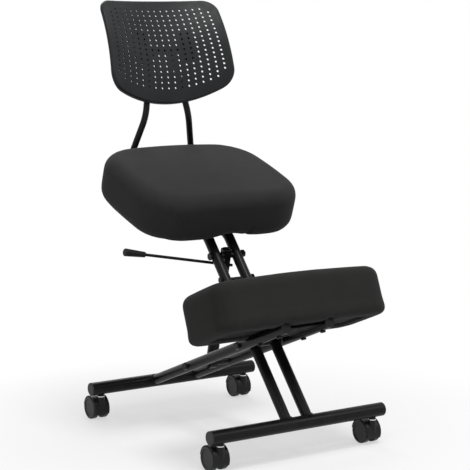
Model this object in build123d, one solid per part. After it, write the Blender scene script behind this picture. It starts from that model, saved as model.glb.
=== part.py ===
from build123d import *
import os
from math import asin, atan2, cos, degrees, radians, sin, sqrt

# Kneeling chair with a perforated back, on four twin-wheel casters.
# X runs to the sitter's left, Y to the back, Z up. The origin is on the floor, midway between the base bars.
# Sizes are in millimetres and angles in degrees.

# Base bars
bar_length = 480.0
bar_dia = 32.0
bar_wall = 1.8
bar_spread = 546.0
bar_height = 80.0
cap_rim = 3.0
cap_plug = 16.0
cap_round = 2.0

# Scissor frame of round tube
frame_dia = 25.0
frame_wall = 2.0
arm_angle = 21.7
post_angle = 49.0
arm_spacing = 120.0
post_spacing = 58.0
arm_overhang = 188.0
post_rise = 302.3
rail_length = 205.0
rail_bend = 50.0
plug_rim = 2.5
plug_depth = 14.0

# Cross bolts, bushes and spacers of the frame
pivot_dia = 10.0
tie_dia = 8.0
tie_below_pin = 67.0
bush_wall = 2.0
flange_dia = 22.0
spacer_wall = 3.0
wood_bolt_dia = 6.0
wood_bolt_head = 13.0
wood_bolt_head_height = 4.0

# Lockable gas spring and its release
spring_arm = 244.5
cylinder_dia = 28.0
cylinder_wall = 1.5
cylinder_length = 160.0
cylinder_end = 8.0
rod_dia = 10.0
piston_length = 14.0
eye_width = 20.0
eye_dia = 26.0
eye_reach = 18.0
head_width = 16.0
head_front = 9.0
head_back = 14.0
head_wall = 3.0
head_top = 14.0
head_bottom = 52.0
window_top = 15.0
window_bottom = 38.0
pin_play = 1.0
clip_dia = 24.0
clip_wire = 2.5
plunger_dia = 4.0
plunger_reach = 8.0

# Release lever
lever_dia = 7.0
lever_below_pin = 26.0
lever_behind = 7.0
lever_slope = 11.2
lever_fulcrum = 5.5
lever_inner = 26.0
lever_reach = 226.0
lever_pin_dia = 3.0
tongue_height = 5.0
tongue_length = 18.0
tongue_end = 13.0
grip_length = 57.0
grip_dia = 18.5
grip_neck_dia = 13.0
grip_cover = 45.0

# Seat
seat_width = 446.0
seat_depth = 351.0
seat_thick = 121.5
seat_corner = 107.0
seat_bow = 8.0
seat_tilt = 18.4
seat_ahead = 112.0
seat_crown = 8.0
seat_top_round = 36.0
seat_low_round = 35.0
board_thick = 12.0
board_inset = 45.0
seat_screw_front = -64.0
seat_screw_back = 64.0

# Knee pad
knee_width = 459.0
knee_depth = 199.0
knee_thick = 115.5
knee_corner = 48.0
knee_bow = 3.0
knee_lip = 7.5
knee_ahead = 15.0
knee_crown = 6.0
knee_top_round = 28.0
knee_low_round = 18.0
knee_bolt_first = 74.0
knee_bolt_pitch = 80.0
plate_thick = 3.0
plate_start = 62.0
plate_length = 118.0

# Back tubes
back_tube_dia = 16.0
back_tube_wall = 1.5
back_tube_spread = 216.0
back_tube_neck = 124.0
back_tube_top_spread = 60.0
back_tube_offset = 14.5
back_tube_rise = 183.5
back_tube_lean = 16.9
back_tube_run = 175.0
back_tube_low_bend = 36.0
back_tube_high_bend = 100.0
back_screw_edge = 22.0
back_screw_pitch = 60.0

# Back shell
back_recline = 20.0
back_lift = 30.8
back_ahead = 13.0
back_radius = 400.0
back_bulge_radius = 413.0
back_height = 269.0
back_width = 357.0
back_top_width = 336.0
back_bottom_rise = 40.0
back_top_drop = 10.0
back_low_corner = 48.0
back_top_corner = 40.0
shell_thick = 4.0
rim_width = 8.0
rim_depth = 10.0
rim_round = 6.0
hole_dia = 5.5
hole_rows = 16
hole_columns = 17
hole_top = 238.0
hole_pitch_x = 17.45
hole_pitch_y = 13.47
hole_fan = 0.092
hole_bow = 26.8
bracket_thick = 3.0
bracket_standoff = 1.5
bracket_side_width = 40.0
bracket_side_height = 84.0
bracket_strap_height = 18.0
bracket_strap_row = 8.0
boss_column = 3.5
boss_row_top = 5.5
boss_row_low = 9.5
boss_dia = 12.0
back_bolt_dia = 5.0
back_bolt_bite = 5.0

# Casters
caster_spread = 422.0
wheel_dia = 55.0
wheel_width = 14.5
wheel_trail = 22.0
wheel_rim = 4.5
wheel_dish = 2.0
wheel_recess = 4.0
wheel_hub_dia = 14.0
wheel_round = 2.5
axle_dia = 6.0
stem_dia = 11.0
stem_ring_dia = 17.0
stem_ring_height = 2.0
stem_ring_gap = 4.0
stem_grip = 24.0
socket_wall = 2.5
hood_web = 13.6
hood_wall = 1.8
hood_gap = 1.4
hood_side_step = 1.8
hood_front_height = 13.0
hood_back_height = 32.0
tower_dia = 19.0

# Fits
weld_gap = 0.05
running_gap = 0.05
slip_gap = 0.3

nodes = {}


def group(*pieces):
    """One node of separate solids."""
    return Compound(children=list(pieces))


def rod(start, end, dia):
    """A round bar between two points."""
    span = Vector(end) - Vector(start)
    place = Plane(origin=start, z_dir=span)
    return place * Cylinder(dia / 2, span.length, align=(Align.CENTER, Align.CENTER, Align.MIN))


def tube(start, end, dia, wall):
    return rod(start, end, dia) - rod(start, end, dia - 2 * wall)


def cross_rod(point, dia, x_from, x_to):
    """A round bar along X through a point of the mid-plane."""
    return rod((x_from, point.Y, point.Z), (x_to, point.Y, point.Z), dia)


def cross_tube(point, dia, bore, x_from, x_to):
    return cross_rod(point, dia, x_from, x_to) - cross_rod(point, bore, x_from, x_to)


def bent_tube(points, radii, dia, wall):
    """A tube of straight runs joined by round bends."""
    path = FilletPolyline(*points, radius=radii)
    ring = Circle(dia / 2) - Circle(dia / 2 - wall)
    return sweep(Plane(origin=path @ 0, z_dir=path % 0) * ring, path=path)


def hex_block(point, dia, height, x_from):
    """A hexagon of the size that fits a bolt, lying on its side."""
    place = Plane(origin=(x_from, point.Y, point.Z), z_dir=(1, 0, 0))
    return place * extrude(RegularPolygon(0.8 * dia, 6, major_radius=False), height)


def cross_bolt(point, dia, half_grip):
    """A hexagon bolt along X, with its head on the sitter's right."""
    head = 0.65 * dia
    shank = cross_rod(point, dia, -half_grip, half_grip + 1.1 * dia)
    return hex_block(point, dia, head, -half_grip - head) + shank


def cross_nut(point, dia, half_grip):
    nut = hex_block(point, dia, 0.85 * dia, half_grip)
    return nut - cross_rod(point, dia + 2 * running_gap, half_grip, half_grip + dia)


def wood_bolt(plane, x, y, z_head, length):
    """A round-headed bolt that goes up into a board, its head under the frame."""
    shank = Cylinder(wood_bolt_dia / 2, length, align=(Align.CENTER, Align.CENTER, Align.MIN))
    head = Cylinder(wood_bolt_head / 2, wood_bolt_head_height, align=(Align.CENTER, Align.CENTER, Align.MAX))
    head = fillet(head.edges().sort_by(Axis.Z)[0], wood_bolt_head_height / 2)
    return plane * Pos(x, y, z_head) * (shank + head)


def wood_bolt_hole(plane, x, y, z_head, length):
    drill = Cylinder(wood_bolt_dia / 2 + running_gap, length, align=(Align.CENTER, Align.CENTER, Align.MIN))
    return plane * Pos(x, y, z_head) * drill


# Places that the pieces share
front_bar = Vector(0, -bar_spread / 2, bar_height)
rear_bar = Vector(0, bar_spread / 2, bar_height)
arm_rise, arm_run = sin(radians(arm_angle)), cos(radians(arm_angle))
post_up, post_run = sin(radians(post_angle)), cos(radians(post_angle))
pivot_lift = bar_spread / (arm_run / arm_rise + post_run / post_up)
pivot = front_bar + Vector(0, pivot_lift * post_run / post_up, pivot_lift)
arm_plane = Plane(origin=pivot, x_dir=(1, 0, 0), z_dir=(0, arm_rise, arm_run))
post_plane = Plane(origin=pivot, x_dir=(1, 0, 0), z_dir=(0, -post_up, post_run))
lower_pin = arm_plane.from_local_coords(Vector(0, spring_arm, 0))
upper_pin = post_plane.from_local_coords(Vector(0, spring_arm, 0))
tie_point = post_plane.from_local_coords(Vector(0, spring_arm - tie_below_pin, 0))
spring_span = upper_pin - lower_pin
spring_plane = Plane(origin=upper_pin, x_dir=(1, 0, 0), z_dir=(0, -spring_span.Z, spring_span.Y))

tilt_up, tilt_run = sin(radians(seat_tilt)), cos(radians(seat_tilt))
rail_corner = post_plane.from_local_coords(Vector(0, post_rise, 0))
rail_plane = Plane(origin=rail_corner, x_dir=(1, 0, 0), z_dir=(0, -tilt_up, tilt_run))
seat_origin = rail_plane.from_local_coords(Vector(0, seat_ahead, frame_dia / 2 + weld_gap))
seat_plane = Plane(origin=seat_origin, x_dir=(1, 0, 0), z_dir=rail_plane.z_dir)

arm_x = arm_spacing / 2
post_x = post_spacing / 2
arm_outer = arm_x + frame_dia / 2
arm_inner = arm_x - frame_dia / 2
post_outer = post_x + frame_dia / 2
post_inner = post_x - frame_dia / 2
sides = {"right": -1, "left": 1}

# Base bars with welded caster sockets that stand out underneath, and their end caps
socket_top = bar_height + stem_grip - bar_dia / 2
ring_top = bar_height - bar_dia / 2 - stem_ring_gap
ring_bottom = ring_top - stem_ring_height


def base_bar(centre):
    half = bar_length / 2 - cap_rim
    outer = cross_rod(centre, bar_dia, -half, half)
    bar = outer - cross_rod(centre, bar_dia - 2 * bar_wall, -half, half)
    sockets = []
    for side in sides.values():
        foot = Vector(side * caster_spread / 2, centre.Y, ring_top + weld_gap)
        sockets.append((foot, Vector(foot.X, foot.Y, socket_top)))
    for foot, top in sockets:
        bar += rod(foot, top, stem_dia + 2 * socket_wall)
    for foot, top in sockets:
        bar -= rod(foot, top, stem_dia + 2 * running_gap)
    return bar


def bar_caps(centre):
    caps = []
    for side in sides.values():
        end = side * bar_length / 2
        rim = cross_rod(centre, bar_dia, *sorted((end, end - side * cap_rim)))
        rim = fillet(rim.edges().filter_by(GeomType.CIRCLE).sort_by(Axis.X)[-1 if side > 0 else 0], cap_round)
        inside = bar_dia - 2 * bar_wall - 2 * running_gap
        plug_ends = sorted((end - side * cap_rim, end - side * (cap_rim + cap_plug)))
        caps.append(rim + cross_rod(centre, inside, *plug_ends))
    return group(*caps)


# Knee arms, welded to the rear bar, with their end plugs and cross plate
def knee_arm(side):
    x = side * arm_x
    tail = arm_plane.from_local_coords(Vector(x, pivot_lift / arm_rise, 0))
    tip = arm_plane.from_local_coords(Vector(x, plug_rim - arm_overhang, 0))
    arm = tube(tip, tail, frame_dia, frame_wall)
    arm -= cross_rod(rear_bar, bar_dia + 2 * weld_gap, -bar_length, bar_length)
    for point in (pivot, lower_pin):
        arm -= cross_rod(point, pivot_dia + 2 * running_gap, -arm_spacing, arm_spacing)
    for y in knee_bolt_rows:
        arm -= wood_bolt_hole(arm_plane, x, y, -frame_dia, 2 * frame_dia)
    return arm


def tube_plug(tip, inward, dia, wall):
    """A plug whose rim covers the end of a tube."""
    inward = Vector(inward).normalized()
    rim_back = tip + inward * plug_rim
    rim = rod(tip, rim_back, dia)
    return rim + rod(rim_back, rim_back + inward * plug_depth, dia - 2 * wall - 2 * running_gap)


knee_bolt_rows = (-knee_bolt_first, -knee_bolt_first - knee_bolt_pitch)
knee_floor = frame_dia / 2 + weld_gap
knee_plane = Plane(
    origin=arm_plane.from_local_coords(Vector(0, -knee_ahead - knee_depth / 2, knee_floor)),
    x_dir=(1, 0, 0),
    z_dir=arm_plane.z_dir,
)


def knee_cross_plate():
    """Flat plate welded between the arms."""
    plate = Box(2 * arm_inner - 2 * weld_gap, plate_length, plate_thick)
    return arm_plane * Pos(0, -plate_start - plate_length / 2, 0) * plate


# Upholstered pads on plywood boards
def pad_board(plane, width, depth, corner):
    radius = max(corner - board_inset, board_thick)
    outline = RectangleRounded(width - 2 * board_inset, depth - 2 * board_inset, radius)
    return plane * extrude(outline, board_thick)


def pad_outline(width, depth, corner, bow):
    """A rectangle with rounded corners and sides that bow out."""
    x, y = width / 2 - bow, depth / 2 - bow
    edges = [
        ThreePointArc((-x, -y), (0, -depth / 2), (x, -y)),
        ThreePointArc((x, -y), (width / 2, 0), (x, y)),
        ThreePointArc((x, y), (0, depth / 2), (-x, y)),
        ThreePointArc((-x, y), (-width / 2, 0), (-x, -y)),
    ]
    face = make_face(edges)
    return fillet(face.vertices(), corner)


def cushion(plane, outline, thick, lip, crown, top_round, low_round):
    """A crowned pad with a domed top, a round shoulder and a rounded lower edge that hangs by a lip."""
    width, depth = outline.bounding_box().size.X, outline.bounding_box().size.Y
    reach = width ** 2 / (8 * crown) + crown / 2
    pad = Pos(0, 0, -lip) * extrude(outline, 2 * thick) & Pos(0, 0, thick - reach) * Sphere(reach)
    pad -= Pos(0, 0, -lip) * Box(2 * width, 2 * depth, 2 * reach, align=(Align.CENTER, Align.CENTER, Align.MAX))
    pad = fillet(pad.faces().filter_by(GeomType.SPHERE)[0].edges(), top_round)
    return plane * fillet(pad.faces().sort_by(Axis.Z)[0].edges(), low_round)


def board_recess(plane, width, depth, corner, lip):
    """Room for a pad's board, open underneath."""
    radius = max(corner - board_inset, board_thick) + slip_gap
    sides_off = 2 * board_inset - 2 * slip_gap
    outline = RectangleRounded(width - sides_off, depth - sides_off, radius)
    return plane * Pos(0, 0, -lip) * extrude(outline, lip + board_thick + slip_gap)


# Seat posts, welded to the front bar and bent into rails under the seat
def seat_post(side):
    x = side * post_x
    foot = post_plane.from_local_coords(Vector(x, -pivot_lift / post_up, 0))
    corner = rail_plane.from_local_coords(Vector(x, 0, 0))
    end = rail_plane.from_local_coords(Vector(x, rail_length - plug_rim, 0))
    post = bent_tube((foot, corner, end), rail_bend, frame_dia, frame_wall)
    post -= cross_rod(front_bar, bar_dia + 2 * weld_gap, -bar_length, bar_length)
    post -= cross_rod(pivot, pivot_dia + 2 * bush_wall + 2 * running_gap, -post_spacing, post_spacing)
    post -= cross_rod(upper_pin, pivot_dia + 2 * running_gap, -post_spacing, post_spacing)
    post -= cross_rod(tie_point, tie_dia + 2 * running_gap, -post_spacing, post_spacing)
    for y in (seat_screw_front, seat_screw_back):
        post -= wood_bolt_hole(seat_plane, x, y, -2 * frame_dia, 2 * frame_dia)
    return post


def scissor_bush(side):
    """Flanged bush that lets a post turn on the pivot bolt and keeps it off the arm."""
    bore = pivot_dia + 2 * running_gap
    inner, outer = sorted((side * post_inner, side * post_outer))
    sleeve = cross_tube(pivot, pivot_dia + 2 * bush_wall, bore, inner, outer)
    near, far = sorted((side * post_outer, side * (arm_inner - slip_gap)))
    return sleeve + cross_tube(pivot, flange_dia, bore, near, far)


def post_spacers():
    """A spacer tube between the posts at the pivot, and a washer on each side of the release head."""
    half = post_inner - weld_gap
    pieces = [cross_tube(pivot, pivot_dia + 2 * spacer_wall, pivot_dia + 2 * running_gap, -half, half)]
    for side in sides.values():
        near, far = sorted((side * (head_width / 2 + slip_gap), side * half))
        washer = cross_tube(upper_pin, pivot_dia + 2 * spacer_wall, pivot_dia + 2 * running_gap, near, far)
        pieces.append(washer)
    return group(*pieces)


# Gas spring: its own frame has Y along the spring, with the upper pin at zero
spring_length = spring_span.length
cylinder_foot = eye_reach - spring_length
cylinder_top = cylinder_foot + cylinder_length


def along_spring(start, end, dia, x=0, z=0):
    """A round bar along the spring."""
    return rod(
        spring_plane.from_local_coords(Vector(x, start, z)),
        spring_plane.from_local_coords(Vector(x, end, z)),
        dia,
    )


def gas_cylinder():
    body = along_spring(cylinder_foot, cylinder_top, cylinder_dia)
    bore = cylinder_dia - 2 * cylinder_wall
    body -= along_spring(cylinder_foot + cylinder_end, cylinder_top - cylinder_end, bore)
    rod_bore = rod_dia + 2 * running_gap
    return body - along_spring(cylinder_top - 2 * cylinder_end, cylinder_top + cylinder_end, rod_bore)


def spring_eye():
    """Eye at the foot of the cylinder, turning on the lower pin."""
    eye = cross_rod(lower_pin, eye_dia, -eye_width / 2, eye_width / 2)
    eye += along_spring(-spring_length, cylinder_foot, eye_width)
    return eye - cross_rod(lower_pin, pivot_dia + 2 * running_gap, -eye_width, eye_width)


piston_middle = cylinder_foot + cylinder_length / 2
rod_tip = -window_bottom


def spring_rod():
    """Rod with a bore for the release plunger, screwed into the head."""
    shaft = along_spring(piston_middle - piston_length / 2, rod_tip, rod_dia)
    return shaft - along_spring(rod_tip - plunger_seat, rod_tip + rod_dia, plunger_dia + 2 * running_gap)


def spring_piston():
    ring = along_spring(
        piston_middle - piston_length / 2, piston_middle + piston_length / 2,
        cylinder_dia - 2 * cylinder_wall - 2 * running_gap,
    )
    rod_bore = rod_dia + 2 * running_gap
    return ring - along_spring(piston_middle - piston_length, piston_middle + piston_length, rod_bore)


def release_head():
    """Block on the rod's end, with a window for the lever and an eye for the upper pin."""
    depth = head_front + head_back
    block = Box(head_width, head_top + head_bottom, depth)
    head = Pos(0, (head_top - head_bottom) / 2, (head_front - head_back) / 2) * block
    window = Box(2 * head_width, window_bottom - window_top, depth - 2 * head_wall)
    head -= Pos(0, -(window_bottom + window_top) / 2, (head_front - head_back) / 2) * window
    head = spring_plane * head
    head -= along_spring(-2 * head_bottom, -window_bottom + head_wall, rod_dia + 2 * running_gap)
    head -= cross_rod(upper_pin, pivot_dia + 2 * pin_play, -head_width, head_width)
    return head - fulcrum_rod(lever_pin_dia + 2 * running_gap, head_front, -head_back)


def head_clip():
    """Ring of spring wire lying on the head."""
    lift = head_top + weld_gap + clip_wire / 2
    return spring_plane * Pos(0, lift, 0) * Rot(90, 0, 0) * Torus((clip_dia - clip_wire) / 2, clip_wire / 2)


# Release lever: it turns on a pin through the head and presses the plunger
slope_up, slope_run = sin(radians(lever_slope)), cos(radians(lever_slope))
lever_plane = Plane(
    origin=spring_plane.from_local_coords(Vector(0, -lever_below_pin, -lever_behind)),
    x_dir=spring_plane.x_dir * slope_run - spring_plane.y_dir * slope_up,
    z_dir=spring_plane.z_dir,
)
lever_pin_point = lever_plane.from_local_coords(Vector(-lever_fulcrum, 0, 0))
fulcrum = spring_plane.to_local_coords(lever_pin_point)
plunger_seat = 2 * plunger_reach


def fulcrum_rod(dia, z_from, z_to):
    """A round bar along the lever's pin."""
    return rod(
        spring_plane.from_local_coords(Vector(fulcrum.X, fulcrum.Y, z_from)),
        spring_plane.from_local_coords(Vector(fulcrum.X, fulcrum.Y, z_to)),
        dia,
    )


def along_lever(start, end, dia):
    return rod(
        lever_plane.from_local_coords(Vector(start, 0, 0)),
        lever_plane.from_local_coords(Vector(end, 0, 0)),
        dia,
    )


def lever_rod():
    """Straight rod with a flat tongue over the plunger."""
    bar = along_lever(-lever_reach - grip_cover, lever_inner, lever_dia)
    tongue = Box(tongue_length, tongue_height, lever_behind + lever_dia)
    bar += lever_plane * Pos(tongue_end - tongue_length / 2, 0, lever_behind / 2) * tongue
    return bar - fulcrum_rod(lever_pin_dia + 2 * running_gap, head_front, -head_back)


def lever_grip():
    """Grip pushed over the rod's outer end, tapered towards the frame."""
    profile = Polyline(
        (0, 0), (0, grip_neck_dia / 2), (-grip_length, grip_dia / 2), (-grip_length, 0), close=True,
    )
    body = revolve(make_face(profile), Axis.X)
    body = fillet(body.edges().filter_by(GeomType.CIRCLE), grip_neck_dia / 5)
    grip = lever_plane * Pos(-lever_reach, 0, 0) * body
    return grip - along_lever(-lever_reach - grip_cover - slip_gap, lever_inner, lever_dia + 2 * running_gap)


def release_plunger():
    """Pin that stands out of the rod, just under the lever's tongue."""
    tongue_floor = -lever_below_pin - tongue_height / 2 / slope_run - plunger_dia / 2 * slope_up / slope_run
    return along_spring(rod_tip - plunger_seat + plunger_reach / 2, tongue_floor - slip_gap, plunger_dia)


# Back tubes: from under the seat, up behind it and on to the bracket behind the shell
recline_back, recline_up = sin(radians(back_recline)), cos(radians(back_recline))
under_seat = -back_tube_dia / 2 - weld_gap
low_corner_y = seat_depth / 2 + back_tube_offset
low_corner = seat_plane.from_local_coords(Vector(0, low_corner_y, under_seat))
lean = Vector(0, -sin(radians(back_tube_lean)), cos(radians(back_tube_lean)))
high_corner = low_corner + lean * back_tube_rise
back_plane = Plane(
    origin=high_corner + Vector(0, -back_ahead, back_lift),
    x_dir=(1, 0, 0),
    z_dir=(0, -recline_up, recline_back),
)
board_back = seat_depth / 2 - board_inset
back_screw_rows = (board_back - back_screw_edge, board_back - back_screw_edge - back_screw_pitch)
back_bulge = back_bulge_radius - sqrt(back_bulge_radius ** 2 - back_height ** 2 / 4)
bracket_front = shell_thick + bracket_standoff
bracket_back = bracket_front + bracket_thick


def hole_place(column, row):
    """Centre of a hole. Columns count from the middle and rows from the top; low rows bow up at the sides."""
    share = row / (hole_rows - 1)
    x = column * hole_pitch_x * (1 + hole_fan * share)
    side_share = column / (hole_columns // 2)
    return x, hole_top - row * hole_pitch_y + hole_bow * share * side_share ** 2


boss_x, boss_top = hole_place(boss_column, boss_row_top)
boss_low = hole_place(boss_column, boss_row_low)[1]
boss_places = [(side * boss_x, y) for side in sides.values() for y in (boss_top, boss_low)]
strap_middle = hole_place(0, bracket_strap_row)[1]


def back_tube(side):
    low_x = side * back_tube_spread / 2
    tube_depth = back_bulge - bracket_back - weld_gap - back_tube_dia / 2
    end_height = strap_middle + bracket_strap_height / 2
    points = (
        seat_plane.from_local_coords(Vector(low_x, low_corner_y - back_tube_run, under_seat)),
        seat_plane.from_local_coords(Vector(low_x, low_corner_y, under_seat)),
        high_corner + Vector(side * back_tube_neck / 2, 0, 0),
        back_plane.from_local_coords(Vector(side * back_tube_top_spread / 2, end_height, tube_depth)),
    )
    bent = bent_tube(points, (back_tube_low_bend, back_tube_high_bend), back_tube_dia, back_tube_wall)
    for y in back_screw_rows:
        bent -= wood_bolt_hole(seat_plane, low_x, y, -2 * back_tube_dia, 2 * back_tube_dia)
    return bent


# Back shell: a saddle-shaped moulding with a rolled rim and rows of round holes
def back_outline():
    low = (back_width / 2, back_bottom_rise)
    top = (back_top_width / 2, back_height - back_top_drop)
    edges = [
        ThreePointArc((-low[0], low[1]), (0, 0), low),
        Line(low, top),
        ThreePointArc(top, (0, back_height), (-top[0], top[1])),
        Line((-top[0], top[1]), (-low[0], low[1])),
    ]
    face = make_face(edges)
    corners = face.vertices().sort_by(Axis.Y)
    face = fillet(corners[:2], back_low_corner)
    upper = [v for v in face.vertices() if v.Y > top[1] - 1]
    return fillet(upper, back_top_corner)


def hole_places():
    """All holes, less the four at the corners of the field."""
    outer = hole_columns // 2
    places = []
    for row in range(hole_rows):
        for column in range(-outer, outer + 1):
            corner = abs(column) == outer and row in (0, hole_rows - 1)
            if not corner:
                places.append(hole_place(column, row))
    return places


def in_front_of(depth):
    """All the space in front of the back's face, or of a surface at a depth behind it."""
    height = 1.5 * back_height
    axis_ahead = back_bulge + back_radius
    field = Pos(back_height / 2, axis_ahead / 2 - back_bulge) * Rectangle(height, axis_ahead + 2 * back_bulge)
    field -= Pos(back_height / 2, back_bulge - back_bulge_radius) * Circle(back_bulge_radius - depth)
    profile = Plane(origin=(0, 0, 0), x_dir=(0, 1, 0), z_dir=(1, 0, 0)) * field
    return back_plane * revolve(profile, Axis((0, 0, axis_ahead), (0, 1, 0)))


def through(sketch):
    """Prism of a sketch on the back's plane, from well behind the shell to well in front."""
    reach = back_radius / 3
    return back_plane * Pos(0, 0, -reach) * extrude(sketch, 2 * reach)


def behind(sketch, depth_from, depth_to):
    """Prism between two depths behind the middle of the back's face."""
    return back_plane * Pos(0, 0, back_bulge - depth_to) * extrude(sketch, depth_to - depth_from)


def hole_drill(x, y):
    """Drill for a hole, square to the face from side to side."""
    reach = back_radius + back_bulge_radius - sqrt(back_bulge_radius ** 2 - (y - back_height / 2) ** 2)
    turn = degrees(asin(x / reach))
    ahead = back_bulge + back_radius - sqrt(reach ** 2 - x ** 2)
    return back_plane * Pos(x, y, ahead) * Rot(0, -turn, 0) * Cylinder(hole_dia / 2, back_radius / 2)


def back_shell():
    outline = back_outline()
    slab = through(outline) & (in_front_of(rim_depth) - in_front_of(0))
    face = slab.faces().filter_by(GeomType.TORUS).sort_by(SortBy.AREA)[-1]
    shell = fillet(face.edges(), rim_round)
    shell -= through(offset(outline, -rim_width)) - in_front_of(shell_thick)
    bosses = Sketch() + [Pos(x, y) * Circle(boss_dia / 2) for x, y in boss_places]
    shell += behind(bosses, -boss_dia, bracket_front) - in_front_of(shell_thick / 2)
    for x, y in boss_places:
        drill = Pos(x, y) * Circle(back_bolt_dia / 2 + running_gap)
        shell -= behind(drill, bracket_front - back_bolt_bite - slip_gap, 2 * bracket_back)
    return shell - [hole_drill(x, y) for x, y in hole_places()]


def back_bracket():
    """Flat plate welded across the front of the back tubes, with a wing behind each pair of bosses."""
    middle = (boss_top + boss_low) / 2
    outline = Pos(0, strap_middle) * Rectangle(2 * boss_x, bracket_strap_height)
    for side in sides.values():
        wing = RectangleRounded(bracket_side_width, bracket_side_height, bracket_side_width / 5)
        outline += Pos(side * boss_x, middle) * wing
    for x, y in boss_places:
        outline -= Pos(x, y) * Circle(back_bolt_dia / 2 + running_gap)
    return behind(outline, bracket_front + weld_gap, bracket_back)


def back_bolt(x, y):
    """Button-headed screw from behind, through the bracket into a boss."""
    seat = bracket_back + weld_gap
    shank = behind(Pos(x, y) * Circle(back_bolt_dia / 2), bracket_front - back_bolt_bite, seat)
    return shank + behind(Pos(x, y) * Circle(back_bolt_dia), seat, seat + back_bolt_dia / 2)


# Casters: a stem held in the bar, a hood that swivels on it and two wheels on an axle
wheel_radius = wheel_dia / 2
wheel_inner = hood_web / 2 + slip_gap
wheel_outer = wheel_inner + wheel_width
stem_foot = wheel_radius + axle_dia + slip_gap
hood_inner_radius = wheel_radius + hood_gap
hood_radius = hood_inner_radius + hood_wall
caster_places = {
    "rear_right": (-caster_spread / 2, rear_bar.Y),
    "rear_left": (caster_spread / 2, rear_bar.Y),
    "front_right": (-caster_spread / 2, front_bar.Y),
    "front_left": (caster_spread / 2, front_bar.Y),
}


def caster_stem(place):
    x, y = place
    stem = rod((x, y, stem_foot), (x, y, socket_top - slip_gap), stem_dia)
    return stem + rod((x, y, ring_bottom), (x, y, ring_top), stem_ring_dia)


def axle_rod(dia, x_from, x_to):
    return cross_rod(Vector(0, wheel_trail, wheel_radius), dia, x_from, x_to)


def caster_hood():
    """Fender over the front and top of the wheels, a web between them and a tower for the stem."""
    half = wheel_outer - hood_side_step
    slope = degrees(atan2(hood_back_height - hood_front_height, 2 * hood_radius))
    middle = (hood_back_height + hood_front_height) / 2
    below = Box(4 * half, 6 * hood_radius, 2 * hood_radius, align=(Align.CENTER, Align.CENTER, Align.MAX))
    below = Pos(0, wheel_trail, middle) * Rot(slope, 0, 0) * below
    hood = axle_rod(2 * hood_radius, -half, half) - below
    hood += axle_rod(wheel_hub_dia, -hood_web / 2, hood_web / 2)
    hood += rod((0, 0, wheel_radius), (0, 0, ring_bottom - slip_gap), tower_dia)
    for side in sides.values():
        hood -= axle_rod(2 * hood_inner_radius, *sorted((side * hood_web / 2, side * 2 * half)))
    hood -= rod((0, 0, stem_foot - slip_gap), (0, 0, ring_top), stem_dia + 2 * running_gap)
    return hood - axle_rod(axle_dia, -hood_web, hood_web)


axle_half = wheel_outer - wheel_dish - wheel_recess


def caster_wheel(side):
    """Wheel with a rounded tread, a dished face inside a raised rim, and a hub that hides the axle."""
    tread_inner = wheel_radius - wheel_rim
    hub = wheel_hub_dia / 2
    bore = axle_dia / 2 + running_gap
    blind = wheel_outer - wheel_dish - wheel_recess + slip_gap
    face = wheel_outer - wheel_dish
    profile = Polyline(
        (wheel_inner, bore), (wheel_inner, hub), (wheel_inner + wheel_recess, hub),
        (wheel_inner + wheel_recess, tread_inner), (wheel_inner, tread_inner),
        (wheel_inner, wheel_radius), (wheel_outer, wheel_radius), (wheel_outer, tread_inner),
        (face, tread_inner - wheel_dish), (face, 0), (blind, 0), (blind, bore), close=True,
    )
    wheel = revolve(make_face(profile), Axis.X)
    tread = [e for e in wheel.edges().filter_by(GeomType.CIRCLE) if abs(e.radius - wheel_radius) < 0.01]
    wheel = fillet(tread, wheel_round)
    if side < 0:
        wheel = mirror(wheel, about=Plane.YZ)
    return Pos(0, wheel_trail, wheel_radius) * wheel


# The knee frame, which stands on the rear bar
nodes["rear_bar"] = base_bar(rear_bar)
nodes["rear_bar_caps"] = bar_caps(rear_bar)
for name, side in sides.items():
    nodes["arm_" + name] = knee_arm(side)
arm_forward = Vector(0, -arm_run, arm_rise)
nodes["arm_plugs"] = group(*[
    tube_plug(
        arm_plane.from_local_coords(Vector(side * arm_x, -arm_overhang, 0)), arm_forward * -1,
        frame_dia, frame_wall,
    )
    for side in sides.values()
])
nodes["knee_plate"] = knee_cross_plate()
knee_board = pad_board(knee_plane, knee_width, knee_depth, knee_corner)
knee_bolt_length = frame_dia + weld_gap + 0.8 * board_thick
for side in sides.values():
    for y in knee_bolt_rows:
        knee_board -= wood_bolt_hole(arm_plane, side * arm_x, y, 0, frame_dia / 2 + board_thick)
nodes["knee_board"] = knee_board
knee_outline = pad_outline(knee_width, knee_depth, knee_corner, knee_bow)
knee_cushion = cushion(knee_plane, knee_outline, knee_thick, knee_lip, knee_crown, knee_top_round, knee_low_round)
knee_cushion -= board_recess(knee_plane, knee_width, knee_depth, knee_corner, knee_lip)
for side in sides.values():
    arm_start = arm_plane.from_local_coords(Vector(side * arm_x, -2 * knee_depth, 0))
    arm_end = arm_plane.from_local_coords(Vector(side * arm_x, knee_depth, 0))
    knee_cushion -= rod(arm_start, arm_end, frame_dia + 2 * slip_gap)
nodes["knee_cushion"] = knee_cushion
nodes["knee_bolts"] = group(*[
    wood_bolt(arm_plane, side * arm_x, y, -frame_dia / 2, knee_bolt_length)
    for side in sides.values() for y in knee_bolt_rows
])
nodes["scissor_bolt"] = cross_bolt(pivot, pivot_dia, arm_outer)
nodes["spring_lower_pin"] = cross_bolt(lower_pin, pivot_dia, arm_outer)
nodes["arm_nuts"] = group(cross_nut(pivot, pivot_dia, arm_outer), cross_nut(lower_pin, pivot_dia, arm_outer))
nodes["lower_pin_spacers"] = group(*[
    cross_tube(
        lower_pin, pivot_dia + 2 * spacer_wall, pivot_dia + 2 * running_gap,
        *sorted((side * (eye_width / 2 + slip_gap), side * (arm_inner - weld_gap))),
    )
    for side in sides.values()
])

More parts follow.
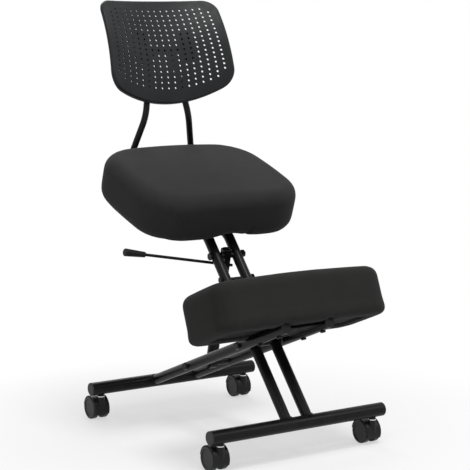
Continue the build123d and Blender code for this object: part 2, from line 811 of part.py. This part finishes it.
# The seat frame, which stands on the front bar and turns on the scissor bolt
nodes["front_bar"] = base_bar(front_bar)
nodes["front_bar_caps"] = bar_caps(front_bar)
for name, side in sides.items():
    nodes["post_" + name] = seat_post(side)
nodes["post_plugs"] = group(*[
    tube_plug(
        rail_plane.from_local_coords(Vector(side * post_x, rail_length, 0)), rail_plane.y_dir * -1,
        frame_dia, frame_wall,
    )
    for side in sides.values()
])
nodes["scissor_bushes"] = group(*[scissor_bush(side) for side in sides.values()])
nodes["post_spacers"] = post_spacers()
nodes["post_tie_bolt"] = cross_bolt(tie_point, tie_dia, post_outer)
nodes["spring_upper_pin"] = cross_bolt(upper_pin, pivot_dia, post_outer)
nodes["post_nuts"] = group(
    cross_nut(tie_point, tie_dia, post_outer),
    cross_nut(upper_pin, pivot_dia, post_outer),
)
seat_board = pad_board(seat_plane, seat_width, seat_depth, seat_corner)
seat_screw_rows = (seat_screw_front, seat_screw_back)
seat_screw_length = frame_dia + weld_gap + 0.8 * board_thick
back_screw_length = back_tube_dia + weld_gap + 0.8 * board_thick
seat_screws = []
back_tube_screws = []
for side in sides.values():
    for y in seat_screw_rows:
        seat_board -= wood_bolt_hole(seat_plane, side * post_x, y, 0, board_thick)
        seat_screws.append(wood_bolt(seat_plane, side * post_x, y, -frame_dia - weld_gap, seat_screw_length))
    for y in back_screw_rows:
        x = side * back_tube_spread / 2
        seat_board -= wood_bolt_hole(seat_plane, x, y, 0, board_thick)
        back_tube_screws.append(wood_bolt(seat_plane, x, y, -back_tube_dia - weld_gap, back_screw_length))
nodes["seat_board"] = seat_board
seat_outline = pad_outline(seat_width, seat_depth, seat_corner, seat_bow)
seat_cushion = cushion(seat_plane, seat_outline, seat_thick, 0, seat_crown, seat_top_round, seat_low_round)
nodes["seat_cushion"] = seat_cushion - board_recess(seat_plane, seat_width, seat_depth, seat_corner, 0)
nodes["seat_screws"] = group(*seat_screws)
nodes["back_tube_screws"] = group(*back_tube_screws)
for name, side in sides.items():
    nodes["back_tube_" + name] = back_tube(side)
nodes["back_bracket"] = back_bracket()
nodes["back_shell"] = back_shell()
nodes["back_screws"] = group(*[back_bolt(x, y) for x, y in boss_places])

# The gas spring and its release
nodes["spring_cylinder"] = gas_cylinder()
nodes["spring_eye"] = spring_eye()
nodes["spring_rod"] = spring_rod()
nodes["spring_piston"] = spring_piston()
nodes["release_head"] = release_head()
nodes["head_clip"] = head_clip()
nodes["lever_pin"] = fulcrum_rod(lever_pin_dia, head_front, -head_back)
nodes["release_plunger"] = release_plunger()
nodes["lever_rod"] = lever_rod()
nodes["lever_grip"] = lever_grip()

# The casters
nodes["rear_stems"] = group(*[caster_stem(caster_places["rear_" + name]) for name in sides])
nodes["front_stems"] = group(*[caster_stem(caster_places["front_" + name]) for name in sides])
hood = caster_hood()
axle = axle_rod(axle_dia, -axle_half, axle_half)
wheels = {name: caster_wheel(side) for name, side in sides.items()}
for name, (x, y) in caster_places.items():
    nodes["caster_hood_" + name] = Pos(x, y, 0) * hood
    nodes["caster_axle_" + name] = Pos(x, y, 0) * axle
    for wheel_side, wheel in wheels.items():
        nodes["wheel_" + name + "_" + wheel_side] = Pos(x, y, 0) * wheel

os.makedirs("parts", exist_ok=True)
for name, shape in nodes.items():
    export_step(shape, "parts/" + name + ".step")
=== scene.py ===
import bpy
import numpy as np
from math import atan2, cos, exp, radians, sin, sqrt
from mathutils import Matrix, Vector


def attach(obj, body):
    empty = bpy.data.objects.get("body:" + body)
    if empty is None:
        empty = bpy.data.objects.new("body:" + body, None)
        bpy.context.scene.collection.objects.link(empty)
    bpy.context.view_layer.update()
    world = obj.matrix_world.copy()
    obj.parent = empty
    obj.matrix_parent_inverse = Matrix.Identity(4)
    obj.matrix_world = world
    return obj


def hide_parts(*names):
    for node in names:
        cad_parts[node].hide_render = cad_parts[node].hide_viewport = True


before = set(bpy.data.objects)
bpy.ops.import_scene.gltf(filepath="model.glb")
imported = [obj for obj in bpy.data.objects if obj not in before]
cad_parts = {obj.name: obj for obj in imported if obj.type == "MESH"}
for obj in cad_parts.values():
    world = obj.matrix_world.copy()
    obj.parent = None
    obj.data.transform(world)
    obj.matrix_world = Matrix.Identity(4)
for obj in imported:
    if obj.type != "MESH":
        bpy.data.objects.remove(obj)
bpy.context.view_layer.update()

bpy.ops.object.select_all(action="DESELECT")


# Twin wheels of the casters: black nylon mouldings, each on one end of a steel axle.
# The treads are scuffed dull where they roll, and the dished faces keep the mould's satin.
def start_finish(name, colour, roughness, metal=0.0):
    """A finish with the colour and roughness it has all over, and the place that its pattern reads."""
    finish = bpy.data.materials.new(name)
    finish.use_nodes = True
    tree = finish.node_tree
    shader = tree.nodes["Principled BSDF"]
    shader.inputs["Base Color"].default_value = (*colour, 1)
    shader.inputs["Roughness"].default_value = roughness
    shader.inputs["Metallic"].default_value = metal
    place = tree.nodes.new("ShaderNodeTexCoord").outputs["Object"]
    return finish, tree, shader, place


def mottle(tree, place, scale, detail=3.0):
    """Uneven patches of a size given by the scale."""
    node = tree.nodes.new("ShaderNodeTexNoise")
    node.inputs["Scale"].default_value = scale
    node.inputs["Detail"].default_value = detail
    tree.links.new(place, node.inputs["Vector"])
    return node.outputs["Fac"]


def spread(tree, value, low, high, start=0.3, end=0.7):
    """Turns patches into values between two limits."""
    node = tree.nodes.new("ShaderNodeMapRange")
    node.inputs["From Min"].default_value = start
    node.inputs["From Max"].default_value = end
    node.inputs["To Min"].default_value = low
    node.inputs["To Max"].default_value = high
    tree.links.new(value, node.inputs["Value"])
    return node.outputs["Result"]


def tint(tree, value, dark, light):
    """A colour between two shades."""
    node = tree.nodes.new("ShaderNodeMix")
    node.data_type = "RGBA"
    node.inputs[6].default_value = (*dark, 1)
    node.inputs[7].default_value = (*light, 1)
    tree.links.new(value, node.inputs[0])
    return node.outputs[2]


def raise_grain(tree, shader, height, strength, distance):
    """Relief on the surface, without moving it."""
    node = tree.nodes.new("ShaderNodeBump")
    node.inputs["Strength"].default_value = strength
    node.inputs["Distance"].default_value = distance
    tree.links.new(height, node.inputs["Height"])
    tree.links.new(node.outputs["Normal"], shader.inputs["Normal"])


def dress(finish, *nodes):
    """Gives solids of the frame a finish."""
    for node in nodes:
        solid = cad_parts[node]
        if not solid.material_slots:
            solid.data.materials.append(finish)
        for holder in solid.material_slots:
            holder.material = finish


corners = ("rear_right", "rear_left", "front_right", "front_left")
wheel_nylon, tree, shader, place = start_finish("wheel_nylon", (0.016, 0.016, 0.017), 0.48)
scuffs = mottle(tree, place, 160.0, 6.0)
tree.links.new(spread(tree, scuffs, 0.26, 0.46), shader.inputs["Roughness"])
scuffed = tint(tree, spread(tree, scuffs, 0.0, 1.0), (0.012, 0.012, 0.013), (0.022, 0.022, 0.023))
tree.links.new(scuffed, shader.inputs["Base Color"])
raise_grain(tree, shader, mottle(tree, place, 900.0), 0.12, 0.0004)
shader.inputs["Specular IOR Level"].default_value = 0.24
for corner in corners:
    dress(wheel_nylon, "wheel_" + corner + "_right", "wheel_" + corner + "_left")

# Caster hoods: glossier black mouldings that swivel on the stems and cover the wheels from above.
# Each is moulded in one piece, with a web between the wheels that carries their axle.
hood_moulding, tree, shader, place = start_finish("hood_moulding", (0.014, 0.014, 0.015), 0.33)
tree.links.new(spread(tree, mottle(tree, place, 45.0), 0.27, 0.40), shader.inputs["Roughness"])
raise_grain(tree, shader, mottle(tree, place, 600.0), 0.05, 0.0004)
shader.inputs["Specular IOR Level"].default_value = 0.16
for corner in corners:
    dress(hood_moulding, "caster_hood_" + corner)

# Caster stems and axles: bright plated steel, pressed into the bars' sockets and the hoods' webs.
# Only the stem's collar shows, as a shiny ring between the socket and the hood.
plated_steel, tree, shader, place = start_finish("plated_steel", (0.72, 0.72, 0.73), 0.14, 1.0)
tree.links.new(spread(tree, mottle(tree, place, 220.0, 5.0), 0.09, 0.24), shader.inputs["Roughness"])
raise_grain(tree, shader, mottle(tree, place, 1500.0), 0.03, 0.0002)
dress(plated_steel, "rear_stems", "front_stems")
for corner in corners:
    dress(plated_steel, "caster_axle_" + corner)

# Base bars, arms and posts: steel tube, powder-coated gloss black after welding.
# The coat has the faint orange peel of powder, and thins to a duller gloss in patches.
powder_coat, tree, shader, place = start_finish("powder_coat", (0.0085, 0.0085, 0.009), 0.3)
patches = mottle(tree, place, 30.0, 4.0)
tree.links.new(spread(tree, patches, 0.24, 0.34), shader.inputs["Roughness"])
coated = tint(tree, spread(tree, patches, 0.0, 1.0), (0.007, 0.007, 0.0074), (0.011, 0.011, 0.0115))
tree.links.new(coated, shader.inputs["Base Color"])
raise_grain(tree, shader, mottle(tree, place, 520.0, 2.0), 0.10, 0.0004)
shader.inputs["Specular IOR Level"].default_value = 0.12
dress(powder_coat, "rear_bar", "front_bar", "arm_right", "arm_left", "post_right", "post_left")

# Knee plate: flat steel welded between the arms, under the pad.
# Powder hardly reaches the gap above it, so its coat is thin and stays matt.
thin_coat, tree, shader, place = start_finish("thin_coat", (0.009, 0.009, 0.0095), 0.6)
tree.links.new(spread(tree, mottle(tree, place, 50.0, 4.0), 0.5, 0.7), shader.inputs["Roughness"])
raise_grain(tree, shader, mottle(tree, place, 640.0, 2.0), 0.12, 0.0004)
shader.inputs["Specular IOR Level"].default_value = 0.02
dress(thin_coat, "knee_plate")

# Weld beads: a raised, rippled line of weld round the foot of each post and the tail of each arm,
# where the round tube is cut to sit on the base bar. They are coated with the frame.
bar_radius, tube_radius, bead_radius = 0.016, 0.0125, 0.0024
bar_height, half_spread = 0.080, 0.273
ripples, ripple_share = 26, 0.16


def weld_bead(name, foot, along, body):
    """Bead on the line where a tube, running along a direction from a bar's centre, leaves the bar."""
    bpy.ops.object.select_all(action="DESELECT")
    bpy.ops.mesh.primitive_torus_add(
        major_segments=72, minor_segments=8, major_radius=tube_radius, minor_radius=bead_radius
    )
    bead = bpy.context.object
    bead.name = name
    along = Vector(along).normalized()
    across = Vector((1, 0, 0))
    level = along.cross(across)
    for vertex in bead.data.vertices:
        turn = atan2(vertex.co.y, vertex.co.x)
        outward = across * cos(turn) + level * sin(turn)
        reach = Vector((vertex.co.x, vertex.co.y)).length - tube_radius
        side = outward * tube_radius
        level_part = side.dot(level)
        height = sqrt(bar_radius ** 2 - level_part ** 2)
        ripple = 1 + ripple_share * sin(ripples * turn)
        vertex.co = Vector(foot) + side + along * (height + vertex.co.z * ripple) + outward * reach * ripple
    bpy.ops.object.shade_smooth()
    bpy.ops.object.mode_set(mode="EDIT")
    bpy.ops.mesh.select_all(action="SELECT")
    bpy.ops.mesh.normals_make_consistent(inside=False)
    bpy.ops.object.mode_set(mode="OBJECT")
    bead.data.materials.append(powder_coat)
    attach(bead, body)


post_slope, post_half_gap = radians(49.0), 0.029
arm_slope, arm_half_gap = radians(21.7), 0.060
post_direction = (0, cos(post_slope), sin(post_slope))
arm_direction = (0, -cos(arm_slope), sin(arm_slope))
for side, sign in (("right", -1), ("left", 1)):
    post_foot = (sign * post_half_gap, -half_spread, bar_height)
    arm_tail = (sign * arm_half_gap, half_spread, bar_height)
    weld_bead("post_weld_" + side, post_foot, post_direction, "seat_frame")
    weld_bead("arm_weld_" + side, arm_tail, arm_direction, "knee_frame")

# End caps of the bars: satin dark grey mouldings, pushed in, with a thin rim over the end of the tube.
# The plugs of the arms and posts are pushed in too; they are given the hoods' blacker plastic, darker than
# the caps, as painted shade for the shadow of the pads above them.
cap_moulding, tree, shader, place = start_finish("cap_moulding", (0.032, 0.032, 0.034), 0.5)
tree.links.new(spread(tree, mottle(tree, place, 90.0), 0.42, 0.56), shader.inputs["Roughness"])
raise_grain(tree, shader, mottle(tree, place, 1100.0), 0.14, 0.0003)
shader.inputs["Specular IOR Level"].default_value = 0.2
dress(cap_moulding, "rear_bar_caps", "front_bar_caps")
dress(hood_moulding, "arm_plugs", "post_plugs")

# Bolts, nuts, spacers, screws and the clip on the release head: steel with a black finish.
# Spanners and the joints' own movement rub it a little brighter here and there.
black_steel, tree, shader, place = start_finish("black_steel", (0.010, 0.010, 0.0105), 0.33)
rubbed = mottle(tree, place, 240.0, 6.0)
worn = tint(tree, spread(tree, rubbed, 0.0, 1.0, 0.5, 0.8), (0.008, 0.008, 0.0085), (0.022, 0.022, 0.023))
tree.links.new(worn, shader.inputs["Base Color"])
tree.links.new(spread(tree, rubbed, 0.25, 0.40), shader.inputs["Roughness"])
shader.inputs["Specular IOR Level"].default_value = 0.16
dress(
    black_steel,
    "knee_bolts", "scissor_bolt", "spring_lower_pin", "arm_nuts", "lower_pin_spacers",
    "post_spacers", "post_tie_bolt", "spring_upper_pin", "post_nuts", "head_clip",
    "seat_screws", "back_tube_screws", "back_screws",
)

# Bushes of the scissor joint: plain black nylon sleeves with a flange, dull from rubbing.
# They sit in the posts, turn on the scissor bolt and keep the posts off the arms.
bush_nylon, tree, shader, place = start_finish("bush_nylon", (0.02, 0.02, 0.02), 0.6)
tree.links.new(spread(tree, mottle(tree, place, 300.0), 0.5, 0.7), shader.inputs["Roughness"])
dress(bush_nylon, "scissor_bushes")

# Gas spring: a painted steel cylinder with an eye at its foot, and the release head on its rod.
# The rod is ground bright, as are the piston, the release plunger and the lever's pin.
spring_coat, tree, shader, place = start_finish("spring_coat", (0.010, 0.010, 0.0105), 0.27)
tree.links.new(spread(tree, mottle(tree, place, 60.0), 0.21, 0.33), shader.inputs["Roughness"])
raise_grain(tree, shader, mottle(tree, place, 700.0), 0.05, 0.0003)
shader.inputs["Specular IOR Level"].default_value = 0.14
dress(spring_coat, "spring_cylinder", "spring_eye", "release_head")
ground_steel, tree, shader, place = start_finish("ground_steel", (0.62, 0.62, 0.63), 0.18, 1.0)
tree.links.new(spread(tree, mottle(tree, place, 400.0, 6.0), 0.12, 0.28), shader.inputs["Roughness"])
dress(ground_steel, "spring_rod", "spring_piston", "release_plunger", "lever_pin")

# Release lever: a straight steel rod with a flat tongue, coated black like the frame.
# It turns on a pin in the release head, and its tongue presses the plunger.
dress(powder_coat, "lever_rod")

# Lever grip: a soft black moulding with a fine matt grain, thicker at its outer end.
# It is pushed over the end of the rod and holds by friction.
grip_moulding, tree, shader, place = start_finish("grip_moulding", (0.012, 0.012, 0.0125), 0.5)
tree.links.new(spread(tree, mottle(tree, place, 120.0), 0.44, 0.6), shader.inputs["Roughness"])
raise_grain(tree, shader, mottle(tree, place, 1300.0, 2.0), 0.2, 0.0003)
shader.inputs["Specular IOR Level"].default_value = 0.15
dress(grip_moulding, "lever_grip")

# Pad boards: plywood under a black lining cloth, which is stapled over the pads' undersides.
# The frame is bolted to them from below.
lining, tree, shader, place = start_finish("lining", (0.02, 0.02, 0.02), 0.85)
fibres = mottle(tree, place, 700.0, 8.0)
fibrous = tint(tree, spread(tree, fibres, 0.0, 1.0), (0.014, 0.014, 0.014), (0.03, 0.03, 0.03))
tree.links.new(fibrous, shader.inputs["Base Color"])
raise_grain(tree, shader, fibres, 0.35, 0.0004)
shader.inputs["Specular IOR Level"].default_value = 0.1
dress(lining, "knee_board", "seat_board")


# Knee pad: foam on the knee board under a dark woven cover, pulled tight so that it crowns.
# The cover is drawn round the edge and fixed under the board, which holds the underside flat.
thread_scale = 157.0
mesh_size = 0.005
lining_rise, cuff_rise = 0.015, 0.03
blow_steps, evening_passes = 20, 160


def cover_cloth(name, tilt, dark, light):
    """Plain weave of two-millimetre threads that run along and across a pad lying at a tilt."""
    finish, tree, shader, place = start_finish(name, light, 0.86)
    coords = tree.nodes["Texture Coordinate"]
    turned = []
    for source in (coords.outputs["Object"], coords.outputs["Normal"]):
        node = tree.nodes.new("ShaderNodeMapping")
        node.vector_type = "TEXTURE"
        node.inputs["Rotation"].default_value = (radians(tilt), 0, 0)
        tree.links.new(source, node.inputs["Vector"])
        turned.append(node.outputs["Vector"])
    threads = []
    for axis in "XYZ":
        node = tree.nodes.new("ShaderNodeTexWave")
        node.bands_direction = axis
        node.inputs["Scale"].default_value = thread_scale
        node.inputs["Distortion"].default_value = 0.6
        node.inputs["Detail"].default_value = 1.0
        node.inputs["Detail Scale"].default_value = 2.0
        tree.links.new(turned[0], node.inputs["Vector"])
        threads.append(node.outputs["Fac"])
    facing = tree.nodes.new("ShaderNodeSeparateXYZ")
    tree.links.new(turned[1], facing.inputs["Vector"])
    weave = None
    for axis, (warp, weft) in enumerate(((1, 2), (0, 2), (0, 1))):
        cross = tree.nodes.new("ShaderNodeMath")
        cross.operation = "MULTIPLY"
        tree.links.new(threads[warp], cross.inputs[0])
        tree.links.new(threads[weft], cross.inputs[1])
        share = tree.nodes.new("ShaderNodeMath")
        share.operation = "ABSOLUTE"
        tree.links.new(facing.outputs[axis], share.inputs[0])
        part = tree.nodes.new("ShaderNodeMath")
        part.operation = "MULTIPLY_ADD"
        tree.links.new(cross.outputs["Value"], part.inputs[0])
        tree.links.new(share.outputs["Value"], part.inputs[1])
        if weave is None:
            part.inputs[2].default_value = 0.0
        else:
            tree.links.new(weave, part.inputs[2])
        weave = part.outputs["Value"]
    shade = tree.nodes.new("ShaderNodeMath")
    shade.operation = "MULTIPLY_ADD"
    shade.inputs[1].default_value = 0.35
    tree.links.new(weave, shade.inputs[0])
    tree.links.new(spread(tree, mottle(tree, place, 22.0, 5.0), 0.40, 0.60), shade.inputs[2])
    tree.links.new(tint(tree, shade.outputs["Value"], dark, light), shader.inputs["Base Color"])
    raise_grain(tree, shader, weave, 0.35, 0.0006)
    shader.inputs["Sheen Weight"].default_value = 0.03
    shader.inputs["Sheen Roughness"].default_value = 0.5
    shader.inputs["Specular IOR Level"].default_value = 0.08
    return finish


def stuffed_pad(name, node, base, up, swell):
    """A pad blown up as cloth from a smaller copy of its solid, with its underside held still.

    The cover is taut, so what each spot is pushed out is evened with its neighbours before it is used."""
    bpy.ops.object.select_all(action="DESELECT")
    pad = bpy.data.objects.new(name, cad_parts[node].data.copy())
    bpy.context.scene.collection.objects.link(pad)
    pad.data.materials.clear()
    bpy.context.view_layer.objects.active = pad
    pad.select_set(True)
    bpy.ops.object.mode_set(mode="EDIT")
    bpy.ops.mesh.select_all(action="SELECT")
    bpy.ops.mesh.remove_doubles(threshold=0.00002)
    bpy.ops.object.mode_set(mode="OBJECT")
    remesh = pad.modifiers.new("Even", "REMESH")
    remesh.mode = "VOXEL"
    remesh.voxel_size = mesh_size
    bpy.ops.object.modifier_apply(modifier="Even")
    smooth = pad.modifiers.new("Smooth", "SMOOTH")
    smooth.factor = 0.5
    smooth.iterations = 5
    bpy.ops.object.modifier_apply(modifier="Smooth")
    base, up = Vector(base), Vector(up).normalized()
    held = pad.vertex_groups.new(name="held")
    free = pad.vertex_groups.new(name="free")
    for vertex in pad.data.vertices:
        reach = vertex.co - base
        height = reach.dot(up)
        outward = (reach - up * height).normalized()
        if height < 0.0005 or (height < lining_rise and vertex.normal.dot(outward) < 0.3):
            held.add([vertex.index], 1.0, "REPLACE")
        else:
            free.add([vertex.index], min(height / cuff_rise, 1.0), "REPLACE")
    draw_in = pad.modifiers.new("DrawIn", "DISPLACE")
    draw_in.strength = -swell
    draw_in.mid_level = 0.0
    draw_in.vertex_group = "free"
    bpy.ops.object.modifier_apply(modifier="DrawIn")
    start = [vertex.co.copy() for vertex in pad.data.vertices]
    outwards = [vertex.normal.copy() for vertex in pad.data.vertices]
    pushes = np.full(len(start), swell)
    cloth = pad.modifiers.new("Cover", "CLOTH")
    cover = cloth.settings
    cover.quality = 5
    cover.mass = 0.3
    cover.tension_stiffness = 20
    cover.compression_stiffness = 20
    cover.shear_stiffness = 8
    cover.bending_stiffness = 1.0
    cover.use_pressure = True
    cover.uniform_pressure_force = 4.0
    cover.effector_weights.gravity = 0
    cover.vertex_group_mass = "held"
    cloth.collision_settings.use_collision = False
    cloth.point_cache.frame_start = 1
    cloth.point_cache.frame_end = blow_steps
    for step in range(1, blow_steps + 1):
        bpy.context.scene.frame_set(step)
    bpy.ops.object.modifier_apply(modifier="Cover")
    bpy.context.scene.frame_set(1)
    moves = [vertex.co - before for vertex, before in zip(pad.data.vertices, start)]
    pushes = np.array([move.dot(outward) for move, outward in zip(moves, outwards)])
    shares = np.zeros(len(start))
    for vertex in pad.data.vertices:
        for member in vertex.groups:
            if member.group == free.index:
                shares[vertex.index] = member.weight
    pushes = pushes * shares
    pairs = np.array([edge.vertices[:] for edge in pad.data.edges])
    joined = np.bincount(pairs.ravel(), minlength=len(start))
    for step in range(evening_passes):
        around = np.bincount(pairs[:, 0], pushes[pairs[:, 1]], len(start))
        around += np.bincount(pairs[:, 1], pushes[pairs[:, 0]], len(start))
        pushes = 0.5 * pushes + 0.5 * around / joined
        pushes = pushes * np.minimum(4 * shares, 1.0)
    pushed = max((pushes * shares).sum(), 1e-9)
    pushes = np.clip(pushes * swell * shares.sum() / pushed, 0, 2 * swell)
    for vertex, before, outward, push in zip(pad.data.vertices, start, outwards, pushes):
        vertex.co = before + outward * push
    even = pad.modifiers.new("Even", "SMOOTH")
    even.factor = 0.5
    even.iterations = 4
    bpy.ops.object.modifier_apply(modifier="Even")
    finer = pad.modifiers.new("Finer", "SUBSURF")
    finer.levels = 1
    finer.render_levels = 1
    bpy.ops.object.modifier_apply(modifier="Finer")
    bpy.ops.object.shade_smooth()
    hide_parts(node)
    return pad


pad_swell = 0.003
knee_tilt = 21.7
knee_up = (0, sin(radians(knee_tilt)), cos(radians(knee_tilt)))
knee_base = (0, -0.23395, 0.29525)
knee_stretch, knee_shift = 1.014, -0.0006
knee_pad = stuffed_pad("knee_pad", "knee_cushion", knee_base, knee_up, pad_swell)
for vertex in knee_pad.data.vertices:
    vertex.co.x = knee_stretch * vertex.co.x + knee_shift
knee_cover = cover_cloth("knee_cover", -knee_tilt, (0.017, 0.017, 0.0165), (0.030, 0.030, 0.0293))
knee_pad.data.materials.append(knee_cover)
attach(knee_pad, "knee_frame")

# Seat pad: foam on the seat board, made like the knee pad, with broad round corners.
# Its cover is pulled up under the front edge, which arches over the posts, and one tuck shows there.
# The foam sags a little over the board's edge at the front and the sides.
seat_tilt = 18.4
seat_up = Vector((0, -sin(radians(seat_tilt)), cos(radians(seat_tilt))))
seat_ahead = Vector((0, -cos(radians(seat_tilt)), -sin(radians(seat_tilt))))
seat_base = Vector((0, 0.1679, 0.5168))
arch_rise, arch_middle, arch_spread = 0.0125, 0.008, 0.045
sag_drop, sag_height = 0.0035, 0.07
tuck_depth, tuck_middle, tuck_half_width, tuck_height = 0.006, 0.051, 0.007, 0.035


def ramp(value, start, length):
    """Rises from zero to one over a length, and stays there."""
    return min(max((value - start) / length, 0), 1)


seat_pad = stuffed_pad("seat_pad", "seat_cushion", seat_base, seat_up, pad_swell)
for vertex in seat_pad.data.vertices:
    aside = vertex.co.x
    reach = vertex.co - seat_base
    height = reach.dot(seat_up)
    ahead = reach.dot(seat_ahead)
    near_front = ramp(ahead, 0.125, 0.03)
    near_side = ramp(abs(aside), 0.15, 0.04) * ramp(ahead, -0.1, 0.06)
    low = 1 - ramp(height, 0, sag_height)
    arch = arch_rise * near_front * exp(-((aside - arch_middle) / arch_spread) ** 2)
    sag = sag_drop * max(near_front, near_side)
    tuck = tuck_depth * near_front * max(1 - abs(aside - tuck_middle) / tuck_half_width, 0)
    tuck *= max(1 - height / tuck_height, 0)
    vertex.co = vertex.co + seat_up * ((arch - sag) * low + tuck)
    vertex.co.y += 2 * tuck
seat_cover = cover_cloth("seat_cover", seat_tilt, (0.020, 0.020, 0.020), (0.0355, 0.0355, 0.0353))
seat_pad.data.materials.append(seat_cover)
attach(seat_pad, "seat_frame")

# Back tubes and their bracket: thin steel tube and plate in the frame's black coat.
# The tubes are screwed under the seat board, and the bracket is welded across their upper ends.
dress(powder_coat, "back_tube_right", "back_tube_left", "back_bracket")

# Back shell: a saddle-shaped injection moulding in dark grey, with a fine eroded grain on its face.
# Four screws from behind hold its bosses to the bracket.
shell_moulding, tree, shader, place = start_finish("shell_moulding", (0.022, 0.0228, 0.0242), 0.42)
cloud = mottle(tree, place, 14.0, 4.0)
clouded = tint(tree, spread(tree, cloud, 0.0, 1.0), (0.018, 0.0187, 0.02), (0.025, 0.0258, 0.0274))
tree.links.new(clouded, shader.inputs["Base Color"])
tree.links.new(spread(tree, mottle(tree, place, 70.0), 0.38, 0.50), shader.inputs["Roughness"])
raise_grain(tree, shader, mottle(tree, place, 850.0, 4.0), 0.22, 0.0004)
shader.inputs["Specular IOR Level"].default_value = 0.11
dress(shell_moulding, "back_shell")

# Studio: a pale floor that fades into a white surround and keeps the chair's soft shadow.
# Four soft lamps light it, and the camera stands where the photograph was taken.
bpy.ops.object.select_all(action="DESELECT")
bpy.ops.mesh.primitive_plane_add(size=16.0, location=(0, 0, 0))
floor = bpy.context.object
floor.name = "floor"
floor_white = bpy.data.materials.new("floor_white")
floor_white.use_nodes = True
tree = floor_white.node_tree
tree.nodes.remove(tree.nodes["Principled BSDF"])
output = tree.nodes["Material Output"]


def seen_rays(tree):
    """One for rays from the camera, mirrors and glass, and zero for the light that falls on the object."""
    path = tree.nodes.new("ShaderNodeLightPath")
    first = tree.nodes.new("ShaderNodeMath")
    first.operation = "MAXIMUM"
    tree.links.new(path.outputs["Is Camera Ray"], first.inputs[0])
    tree.links.new(path.outputs["Is Glossy Ray"], first.inputs[1])
    both = tree.nodes.new("ShaderNodeMath")
    both.operation = "MAXIMUM"
    tree.links.new(first.outputs["Value"], both.inputs[0])
    tree.links.new(path.outputs["Is Transmission Ray"], both.inputs[1])
    return both.outputs["Value"]


matt = tree.nodes.new("ShaderNodeBsdfDiffuse")
matt.inputs["Color"].default_value = (0.92, 0.92, 0.92, 1)
glow = tree.nodes.new("ShaderNodeEmission")
surround = tree.nodes.new("ShaderNodeMixShader")
tree.links.new(seen_rays(tree), surround.inputs[0])
tree.links.new(matt.outputs["BSDF"], surround.inputs[1])
tree.links.new(glow.outputs["Emission"], surround.inputs[2])
spot = tree.nodes.new("ShaderNodeVectorMath")
spot.operation = "LENGTH"
tree.links.new(tree.nodes.new("ShaderNodeTexCoord").outputs["Object"], spot.inputs[0])
fade = spread(tree, spot.outputs["Value"], 0.55, 1.0, 0.3, 0.85)
floor_mix = tree.nodes.new("ShaderNodeMixShader")
tree.links.new(fade, floor_mix.inputs[0])
tree.links.new(matt.outputs["BSDF"], floor_mix.inputs[1])
tree.links.new(surround.outputs["Shader"], floor_mix.inputs[2])
tree.links.new(floor_mix.outputs["Shader"], output.inputs["Surface"])
floor.data.materials.append(floor_white)

world = bpy.data.worlds.new("studio")
bpy.context.scene.world = world
world.use_nodes = True
tree = world.node_tree
tree.nodes.clear()
output = tree.nodes.new("ShaderNodeOutputWorld")
ambient = tree.nodes.new("ShaderNodeBackground")
ambient.inputs["Strength"].default_value = 0.26
backdrop = tree.nodes.new("ShaderNodeBackground")
backdrop.inputs["Strength"].default_value = 1.0
for node in (ambient, backdrop):
    node.inputs["Color"].default_value = (1, 1, 1, 1)
both = tree.nodes.new("ShaderNodeMixShader")
tree.links.new(seen_rays(tree), both.inputs[0])
tree.links.new(ambient.outputs["Background"], both.inputs[1])
tree.links.new(backdrop.outputs["Background"], both.inputs[2])
tree.links.new(both.outputs["Shader"], output.inputs["Surface"])

for name, place, size, power in (
    ("top_lamp", (0.1, -0.9, 3.3), 1.0, 56.0),
    ("right_lamp", (1.9, -1.9, 2.3), 1.1, 10.0),
    ("left_lamp", (-2.6, -1.4, 2.0), 1.0, 11.0),
    ("rear_lamp", (0.9, 2.6, 2.3), 1.4, 22.0),
):
    lamp = bpy.data.lights.new(name, "AREA")
    lamp.shape = "SQUARE"
    lamp.size = size
    lamp.energy = power
    holder = bpy.data.objects.new(name, lamp)
    holder.location = place
    holder.rotation_euler = (Vector((0, 0, 0.45)) - Vector(place)).to_track_quat("-Z", "Y").to_euler()
    bpy.context.scene.collection.objects.link(holder)

lens = bpy.data.cameras.new("camera")
lens.sensor_fit = "HORIZONTAL"
lens.sensor_width = 36.0
lens.lens = 121.5
viewer = bpy.data.objects.new("camera", lens)
viewer.location = (-2.0383, -3.1121, 0.9984)
aim = Vector((0.00686, -0.00004, 0.477)) - viewer.location
viewer.rotation_euler = aim.to_track_quat("-Z", "Y").to_euler()
bpy.context.scene.collection.objects.link(viewer)
bpy.context.scene.camera = viewer
bpy.context.scene.view_settings.view_transform = "Standard"
